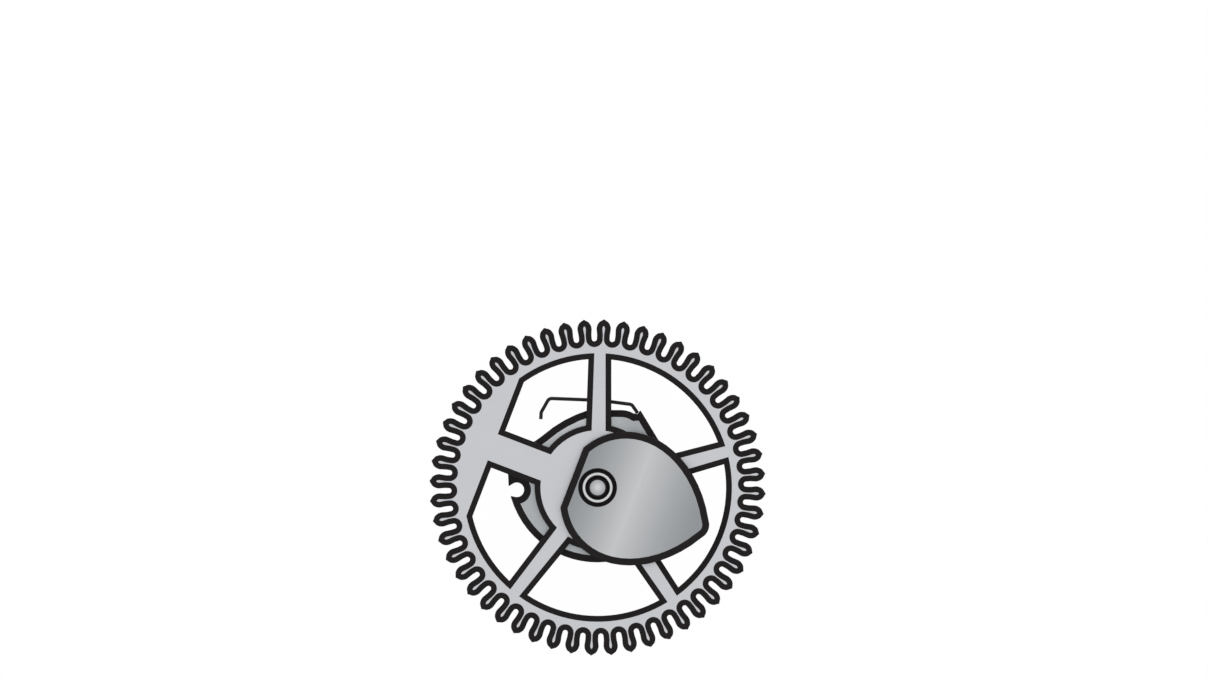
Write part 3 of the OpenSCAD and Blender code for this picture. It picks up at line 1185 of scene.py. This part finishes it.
    def build(self) -> Object:
        """Builds the wheel.

        Returns:
            The wheel, in place.
        """
        low, high = heights("chronograph_wheel")
        thick = high - low
        piece = Forms.plate(self.blank(), thick, self.cut)
        round_order = (self.broad_dir, *self.spokes, self.broad_dir)
        tools = [
            Forms.flared(self.window(first, second, self.cut.width), thick, self.cut)
            for first, second in zip(round_order, round_order[1:])
        ]
        tools.append(Forms.bore((0.0, 0.0), self.bore_r, thick, self.bore_cut))
        hole = Forms.circle("stud_hole", self.stud_at, self.stud_hole_r)
        Bench.face_along_z(hole, up=True)
        bpy.ops.transform.translate(value=(0.0, 0.0, -thick / 2 - Forms.MARGIN))
        Bench.lift(Forms.MARGIN + self.stud_hole_l)
        tools.append(Bench.outwards(hole))
        Bench.combine(piece, tools)
        Bench.settle(piece, (low + high) / 2)
        # The fourth slot is painted shade: the walls of the tooth gaps take the dark finish.
        dress(piece, [WHEEL_FACE, DARK_EDGE_AND_SHADE, WHEEL_WALL, DARK_EDGE_AND_SHADE], self.layer)
        return mount(piece, "chronograph_wheel", RUNNER)

    def layer(self, face: MeshPolygon) -> Layer:
        """Paints shade on the walls of the tooth gaps with the dark finish, and leaves the teeth's
        crowns bright.

        Args:
            face: A face of the finished wheel.

        Returns:
            The layer that it belongs to.
        """
        sort = by_slope(face)
        centre = Vector((face.center.x, face.center.y, 0.0)) / MM
        if sort is Layer.WALL and centre.length > self.rim_in_r + self.cut.width:
            outward = face.normal.dot(centre.normalized())
            # Walls that face out are the crowns; the rest, along the gaps, get painted shade.
            return Layer.WALL if outward > self.crown_facing else Layer.END
        return sort


@dataclass
class ResetCam:
    """The heart-shaped cam that brings the hand back to zero."""

    direction: float = HEART_DIR
    corner: float = 49.4
    mid_r: float = 2.24
    rise: float = 1.04
    low_lift: float = 0.14
    high_lift: float = 0.235
    peak_r: float = 0.45
    flank_mid: float = 117.0
    flank_half: float = 60.0
    flank_end: float = 170.0
    flank_step: float = 6.0
    seat_r: float = 0.515
    seat_cut: Chamfer = Chamfer(0.067, 0.07)
    cut: Chamfer = Chamfer(0.21, 0.09)

    def radius(self, angle: float) -> float:
        """Gives the cam's radius: an even climb along the flank, lifted by a cubic to either side.

        Args:
            angle: The angle from the middle of its flat.

        Returns:
            The flank's distance from the axis there.
        """
        share = (angle - self.flank_mid) / self.flank_half
        lift = self.low_lift if share < 0 else self.high_lift
        return self.mid_r + self.rise * share + lift * abs(share) ** 3

    def outline(self) -> Object:
        """Draws the heart: a flank, the rounded peak, the other flank and the flat.

        Returns:
            An object with the outline as one face.
        """
        last = (ROUND / 2 - self.flank_mid) / self.flank_half
        climb = (self.rise + 3 * self.high_lift * last**2) / self.flank_half * math.degrees(1.0)
        peak = self.radius(ROUND / 2)
        peak_half = math.atan(peak / climb)
        peak_turn = 90.0 - math.degrees(peak_half)
        centre_r = peak - self.peak_r / math.sin(peak_half)
        count = round((self.flank_end - self.corner) / self.flank_step)
        angles = [self.corner + self.flank_step * i for i in range(count + 1)]
        flank = [toward(self.direction + a, self.radius(a)) for a in angles]
        back = [toward(self.direction - a, self.radius(a)) for a in reversed(angles)]
        centre = toward(self.direction + ROUND / 2, centre_r)
        begin = self.direction + ROUND / 2 - peak_turn
        pen = Pen("heart_cam_brushed", flank[0])
        pen.line(*flank[1:], moved(centre, toward(begin, self.peak_r)))
        pen.arc(centre, 2 * peak_turn, self.flank_step)
        pen.line(*back)
        return pen.fill()

    def build(self) -> Object:
        """Builds the cam.

        Returns:
            The cam, in place.
        """
        low, high = heights("heart_cam")
        thick = high - low
        piece = Forms.plate(self.outline(), thick, self.cut)
        Bench.combine(piece, [Forms.bore((0.0, 0.0), self.seat_r, thick, self.seat_cut)])
        Bench.settle(piece, (low + high) / 2)
        dress(piece, [CAM_FACE, DARK_EDGE_AND_SHADE, CAM_FACE], by_slope)
        return mount(piece, "heart_cam", RUNNER)


@dataclass
class MinuteFinger:
    """The sprung plate with the finger, the drive notch, the hook and the wing."""

    bore_r: float = 0.88
    bore_cut: Chamfer = Chamfer(0.03, 0.03)
    shoulder_at: Point = (0.71, 1.584)
    shoulder_r: float = 0.736
    shoulder_from: float = 58.6
    shoulder_to: float = 90.0
    crown_at: Point = (0.845, -1.304)
    crown_r: float = 3.795
    crown_from: float = 107.0
    crown_to: float = 131.0
    back: tuple[Point, ...] = ((-1.857, 1.405), (-2.4, 1.1))
    reach: float = 2.8
    tip_y: float = 0.72
    tip_cut: float = 0.12
    horn_w: float = 0.263
    horn_top_y: float = 0.4
    horn_foot: Point = (-0.245, 0.118)
    notch_at: Point = (-2.427, -0.075)
    notch_r: float = 0.218
    notch_mouth: Point = (154.3, 225.5)
    sweep_r: float = 2.255
    sweep_rise: float = 0.325
    sweep_span: float = 78.0
    sweep_power: float = 1.8
    lip_dir: float = 185.8
    level_dir: float = 270.0
    window_r: float = 1.2415
    window_from: float = -50.82
    window_to: float = -17.5
    wing_reach: float = 2.79
    hook_at: Point = (1.296, 2.3)
    hook_slope: float = 1.65
    pocket_at: Point = (1.178, 2.266)
    pocket_r: float = 0.06
    pocket_dir: float = -54.9
    cut: Chamfer = Chamfer(0.21, 0.05)
    facet: float = 6.5

    def sweep(self, direction: float) -> Point:
        """Returns a point of the plate's lower edge."""
        lift = max(self.level_dir - direction, 0.0) / self.sweep_span
        return toward(direction, self.sweep_r + self.sweep_rise * lift**self.sweep_power)

    def outline(self) -> Object:
        """Draws the plate's outline, with its round cuts left for the cutters.

        Returns:
            An object with the outline as one face.
        """
        hook = self.hook_at
        horn_x = self.notch_at[0] - self.horn_w
        first = moved(self.shoulder_at, toward(self.shoulder_from, self.shoulder_r))
        pen = Pen("finger_plate_brushed", first)
        pen.arc(self.shoulder_at, self.shoulder_to - self.shoulder_from, self.facet)
        pen.line(moved(self.crown_at, toward(self.crown_from, self.crown_r)))
        pen.arc(self.crown_at, self.crown_to - self.crown_from, self.facet)
        pen.line(
            *self.back,
            (self.tip_cut - self.reach, self.tip_y + self.tip_cut),
            (-self.reach, self.tip_y),
            (horn_x, self.horn_top_y),
            moved(self.notch_at, self.horn_foot),
        )
        end = ROUND + self.window_from
        count = math.ceil((end - self.lip_dir) / self.facet)
        step = (end - self.lip_dir) / count
        pen.line(*(self.sweep(self.lip_dir + step * i) for i in range(count + 1)))
        pen.line(toward(self.window_from, self.window_r))
        pen.round_axis(toward(self.window_to, self.window_r), self.facet)
        wing_y = self.wing_reach * math.tan(math.radians(self.window_to))
        wing_top = hook[1] - self.hook_slope * (self.wing_reach - hook[0])
        pen.line((self.wing_reach, wing_y), (self.wing_reach, wing_top), hook, first)
        return pen.fill()

    def notch(self) -> Object:
        """Draws the drive notch and its mouth, as wide as the notch's chamfer reaches.

        Returns:
            An object with the outline as one face.
        """
        width = self.cut.width
        round_r = self.notch_r + width
        spread = math.degrees(math.asin(width / round_r))
        upper, lower = self.notch_mouth
        start = upper - spread
        end = lower + spread - ROUND
        outside = 2 * round_r
        pen = Pen("notch", moved(self.notch_at, toward(start, round_r)))
        pen.arc(self.notch_at, end - start, self.facet)
        pen.line(
            moved(pen.at, toward(lower, outside)),
            moved(moved(self.notch_at, toward(start, round_r)), toward(upper, outside)),
        )
        return pen.fill()

    def pocket(self) -> Object:
        """Draws the pocket along the wire's last leg, as wide as the pocket's chamfer reaches.

        Returns:
            An object with the outline as one face.
        """
        round_r = self.pocket_r + self.cut.width
        side = moved(self.pocket_at, toward(self.pocket_dir + 90.0, round_r))
        outside = toward(self.pocket_dir + ROUND / 2, 2 * round_r)
        pen = Pen("pocket", side)
        pen.arc(self.pocket_at, -ROUND / 2, self.facet)
        pen.line(moved(pen.at, outside), moved(side, outside))
        return pen.fill()

    def build(self) -> Object:
        """Builds the finger plate.

        Returns:
            The plate, in place.
        """
        low, high = heights("finger_plate")
        thick = high - low
        piece = Forms.plate(self.outline(), thick, self.cut)
        Bench.combine(
            piece,
            [
                Forms.bore((0.0, 0.0), self.bore_r, thick, self.bore_cut),
                Forms.flared(self.notch(), thick, self.cut),
                Forms.flared(self.pocket(), thick, self.cut),
            ],
        )
        Bench.settle(piece, (low + high) / 2)
        dress(piece, [FINGER_FACE, DARK_EDGE_AND_SHADE, DARK_EDGE_AND_SHADE], by_slope)
        return mount(piece, "finger_plate", FINGER)


@dataclass
class StopStack:
    """The collar that keeps the finger plate up, and the stop plate with its upright lug."""

    collar_r: float = 1.35
    collar_bore_r: float = 0.7
    stop_r: float = 1.66
    stop_bore_r: float = 0.6
    lug_in_x: float = 1.3315
    lug_out_x: float = 2.18
    lug_front_y: float = 1.3
    lug_dir: float = 18.0
    stop_t: float = 0.33
    cut: Chamfer = Chamfer(0.06, 0.06)
    bore_cut: Chamfer = Chamfer(0.02, 0.02)
    facet: float = 3.0

    def collar(self) -> Object:
        """Turns the collar.

        Returns:
            The collar, in place.
        """
        low, high = heights("collar_disc")
        profile = [
            (self.collar_bore_r, low, self.bore_cut.width),
            (self.collar_r, low, self.cut.width),
            (self.collar_r, high, self.cut.width),
            (self.collar_bore_r, high, self.bore_cut.width),
        ]
        piece = Bench.settle(Forms.lathe("collar_turned_disc", profile, closed=True))
        dress(piece, [COLLAR_FACE, DARK_EDGE_AND_SHADE, COLLAR_FACE], by_slope)
        return mount(piece, "collar_disc", RUNNER)

    def stop(self) -> Object:
        """Builds the stop plate: the disc with its arm, and the lug joined on.

        Returns:
            The stop plate, in place.
        """
        low, high = heights("stop_plate")
        fall = math.tan(math.radians(self.lug_dir))
        outer = (self.lug_out_x, -self.lug_out_x * fall)
        front = -self.lug_front_y
        meets_x = math.sqrt(self.stop_r**2 - self.lug_front_y**2)
        begin = toward(-self.lug_dir, self.stop_r)
        pen = Pen("stop_plate_turned", begin)
        pen.line(outer, (self.lug_out_x, front), (meets_x, front))
        sweep = (-self.lug_dir - heading((0.0, 0.0), pen.at)) - ROUND
        pen.arc((0.0, 0.0), sweep, self.facet)
        plate = Forms.plate(pen.fill(), self.stop_t, self.cut)
        Bench.shift(plate, (0.0, 0.0, low + self.stop_t / 2))

        pen = Pen("lug", (self.lug_in_x, -self.lug_in_x * fall))
        pen.line(outer, (self.lug_out_x, front), (self.lug_in_x, front))
        pen.line((self.lug_in_x, -self.lug_in_x * fall))
        rise = high - low
        lug = Forms.plate(pen.fill(), rise, self.cut)
        Bench.shift(lug, (0.0, 0.0, low + rise / 2))
        Bench.combine(plate, [lug], how="UNION")
        bore = Forms.bore((0.0, 0.0), self.stop_bore_r, self.stop_t, self.bore_cut)
        Bench.shift(bore, (0.0, 0.0, low + self.stop_t / 2))
        Bench.combine(plate, [bore])
        Bench.settle(plate)
        dress(plate, [STOP_FACE, DARK_EDGE_AND_SHADE, STOP_FACE], by_slope)
        return mount(plate, "stop_plate", RUNNER)


@dataclass
class FingerSpring:
    """The bent wire and the stud that holds it under the top spoke."""

    stud_at: Point = STUD_AT
    stud_dir: float = -4.5
    stud_r: float = 0.17
    shank_r: float = STUD_SHANK_R
    foot_cut: float = 0.03
    head_cut: float = 0.01
    shank_cut: float = 0.02
    hole_r: float = 0.058
    hold: float = 0.22
    wire_r: float = 0.0535
    bend_r: float = 0.14
    free_leg: tuple[Point, ...] = ((-1.705, 2.045), (-1.695, 2.25), (-1.458, 2.67))
    last_bend: Point = (1.022, 2.488)
    tip_at: Point = (1.178, 2.266)
    tip_rings: int = 3
    bevel_steps: int = 4
    facet: float = 9.0

    def stud(self) -> Object:
        """Turns the stud and drills it across.

        Returns:
            The stud, in place.
        """
        low, high = heights("spring_stud")
        head_z = heights("chronograph_wheel")[0]
        profile = [
            (0.0, low, 0.0),
            (self.stud_r, low, self.foot_cut),
            (self.stud_r, head_z, self.head_cut),
            (self.shank_r, head_z, 0.0),
            (self.shank_r, high, self.shank_cut),
            (0.0, high, 0.0),
        ]
        piece = Forms.lathe("spring_stud_turned", profile, closed=False)
        drill = Forms.circle("drill", (0.0, 0.0), self.hole_r)
        Bench.face_along_z(drill, up=True)
        bpy.ops.transform.translate(value=(0.0, 0.0, -2 * self.stud_r))
        Bench.lift(4 * self.stud_r)
        Bench.outwards(drill)
        drill.rotation_euler = (0.0, math.radians(90.0), math.radians(self.stud_dir))
        Bench.keep_place(drill)
        Bench.shift(drill, (0.0, 0.0, self.wire_z()))
        Bench.combine(piece, [drill])
        Bench.shift(piece, (*self.stud_at, 0.0))
        Bench.settle(piece)
        dress(piece, [STUD_FACE, DARK_EDGE_AND_SHADE, STUD_FACE], by_slope)
        return mount(piece, "spring_stud", RUNNER)

    @staticmethod
    def wire_z() -> float:
        """Returns the height of the wire's centre line."""
        return sum(heights("finger_plate")) / 2

    def route(self) -> list[Point]:
        """Lists the corners of the wire.

        Returns:
            The corners, from the free end over the two sides of the stud to the pocket.
        """
        before = moved(self.stud_at, toward(self.stud_dir + ROUND / 2, self.hold))
        after = moved(self.stud_at, toward(self.stud_dir, self.hold))
        return [*self.free_leg, before, after, self.last_bend, self.tip_at]

    def round_tip(self, piece: Object) -> None:
        """Rounds the wire's end that rests in the pocket.

        Args:
            piece: The wire on the bench, at height zero.
        """
        tip = Vector((*self.tip_at, 0.0))
        leg = (tip - Vector((*self.last_bend, 0.0))).normalized()
        Bench.pick(
            piece,
            lambda f: f.normal.dot(leg) > FLAT_FACE and (f.center - tip).length < self.wire_r,
        )
        # The rings turn almost a quarter, and the last half step stays as a small flat end.
        step = math.radians(90.0) / (self.tip_rings + 0.5)
        for ring in range(self.tip_rings):
            before, after = step * ring, step * (ring + 1)
            bpy.ops.mesh.inset(
                thickness=self.wire_r * (math.cos(before) - math.cos(after)),
                depth=self.wire_r * (math.sin(after) - math.sin(before)),
            )
        Bench.leave_edit()

    def wire(self) -> Object:
        """Bends the wire.

        Returns:
            The wire, in place.
        """
        route = self.route()
        pen = Pen("wire_spring_bent", route[0])
        for before, corner, after in zip(route, route[1:], route[2:]):
            come, leave = heading(before, corner), heading(corner, after)
            turn = (leave - come + ROUND / 2) % ROUND - ROUND / 2
            trim = self.bend_r * math.tan(math.radians(abs(turn)) / 2)
            start = moved(corner, toward(come + ROUND / 2, trim))
            centre = moved(start, toward(come + math.copysign(90.0, turn), self.bend_r))
            pen.line(start)
            pen.arc(centre, turn, self.facet)
        pen.line(route[-1])
        Bench.take(pen.drawn)
        bpy.ops.object.convert(target="CURVE")
        curve = pen.drawn.data
        curve.bevel_depth = self.wire_r
        curve.bevel_resolution = self.bevel_steps
        curve.use_fill_caps = True
        bpy.ops.object.convert(target="MESH")
        piece = Bench.outwards(bpy.context.object)
        self.round_tip(piece)
        Bench.settle(piece, self.wire_z())
        dress(piece, [SPRING_SKIN], lambda face: Layer.FACE)
        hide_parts("wire_spring")
        start = [c * MM for c in (*route[-3], self.wire_z())]
        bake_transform(piece)
        log.info("%s: %d faces, bends between runner and finger", piece.name, len(piece.data.polygons))
        return piece


@dataclass(frozen=True)
class Softbox:
    """A soft square lamp that faces the wheel, in metres and watts."""

    name: str
    place: Place
    size: float
    power: float

    def hang(self) -> None:
        """Hangs the lamp, out of the camera's sight."""
        bpy.ops.object.select_all(action="DESELECT")
        bpy.ops.object.light_add(type="AREA", location=self.place)
        lamp = bpy.context.object
        lamp.name = self.name
        lamp.data.size = self.size
        lamp.data.energy = self.power
        lamp.visible_camera = False
        lamp.rotation_euler = (-Vector(self.place)).to_track_quat("-Z", "Y").to_euler()


@dataclass
class Studio:
    """The floor, the light and the camera over the plan view.

    The floor's size, the lamps and the clipping are in metres. Where the floor is seen, seen_share of
    it glows, so that it stays pale, and the rest is matt and keeps the object's shadow.
    """

    floor_size: float = 1.2
    floor_tone: Colour = (0.9, 0.9, 0.9, 1.0)
    seen_share: float = 0.9
    glow: float = 1.04
    sky: float = 0.75
    key: Softbox = Softbox("key_softbox", (-0.16, -0.12, 0.2), 0.16, 0.02)
    top: Softbox = Softbox("top_softbox", (0.05, 0.09, 0.26), 0.2, 0.015)
    lens: float = 600.0
    sensor: float = 36.0
    axis_px: Point = (597.6, 487.45)
    frame_px: Point = (1208.0, 680.0)
    mm_per_px: float = 0.03
    focus_z: float = 2.22
    clip: Point = (0.01, 10.0)

    def seen(self, nodes: Nodes) -> NodeSocket:
        """Tells the rays that show the background from those that light the object.

        Args:
            nodes: The nodes of the floor's material or of the world.

        Returns:
            One for camera, glossy and transmission rays, and nought for all others.
        """
        path = nodes.add("LightPath")
        shown = path.outputs["Is Camera Ray"]
        for kind in ("Is Glossy Ray", "Is Transmission Ray"):
            shown = nodes.maths("MAXIMUM", shown, path.outputs[kind])
        return shown

    def floor(self) -> None:
        """Lays a pale floor at the staff's foot, which keeps the object's shadow."""
        Bench.leave_edit()
        bpy.ops.object.select_all(action="DESELECT")
        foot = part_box("staff")[0].z
        bpy.ops.mesh.primitive_plane_add(size=self.floor_size, location=(0.0, 0.0, foot))
        piece = bpy.context.object
        piece.name = "studio_floor"
        Bench.keep_place(piece)
        material = bpy.data.materials.new("pale_floor")
        material.use_nodes = True
        nodes = Nodes(material.node_tree)
        matt = nodes.make("BsdfDiffuse", {"Color": self.floor_tone})
        glow = nodes.make("Emission", {"Color": WHITE, "Strength": self.glow})
        share = nodes.maths("MULTIPLY", self.seen(nodes), self.seen_share)
        nodes.output("OutputMaterial", nodes.make("MixShader", {0: share, 1: matt, 2: glow}))
        piece.data.materials.append(material)

    def world(self) -> None:
        """Gives an even sky that the camera sees as plain white."""
        world = bpy.data.worlds.new("studio_sky")
        world.use_nodes = True
        nodes = Nodes(world.node_tree)
        lit = nodes.make("Background", {"Color": WHITE, "Strength": self.sky})
        plain = nodes.make("Background", {"Color": WHITE, "Strength": 1.0})
        mixed = nodes.make("MixShader", {0: self.seen(nodes), 1: lit, 2: plain})
        nodes.output("OutputWorld", mixed)
        bpy.context.scene.world = world

    def camera(self) -> None:
        """Sets the camera over the wheel, where the plan view of the drawing was taken."""
        width = self.frame_px[0] * self.mm_per_px
        distance = width * self.lens / self.sensor
        off_x = (self.frame_px[0] / 2 - self.axis_px[0]) * self.mm_per_px
        off_y = (self.axis_px[1] - self.frame_px[1] / 2) * self.mm_per_px
        bpy.ops.object.select_all(action="DESELECT")
        bpy.ops.object.camera_add(
            location=(off_x * MM, off_y * MM, (self.focus_z + distance) * MM),
            rotation=(0.0, 0.0, 0.0),
        )
        camera = bpy.context.object
        camera.name = "plan_camera"
        camera.data.lens = self.lens
        camera.data.sensor_width = self.sensor
        camera.data.clip_start, camera.data.clip_end = self.clip
        bpy.context.scene.camera = camera

    def set_up(self) -> None:
        """Sets up the whole studio."""
        bpy.context.scene.view_settings.view_transform = "Standard"
        self.floor()
        self.world()
        self.key.hang()
        self.top.hang()
        self.camera()


def main() -> None:
    """Builds and dresses the sub-assemblies in order, then sets up the studio."""
    logging.basicConfig(level=logging.INFO, format="%(message)s", stream=sys.stdout)
    Effects.build()
    arbor = Arbor()
    arbor.staff()
    arbor.pipe()
    Wheel().build()
    ResetCam().build()
    MinuteFinger().build()
    stack = StopStack()
    stack.collar()
    stack.stop()
    spring = FingerSpring()
    spring.stud()
    spring.wire()
    Studio().set_up()


if __name__ == "__main__":
    main()
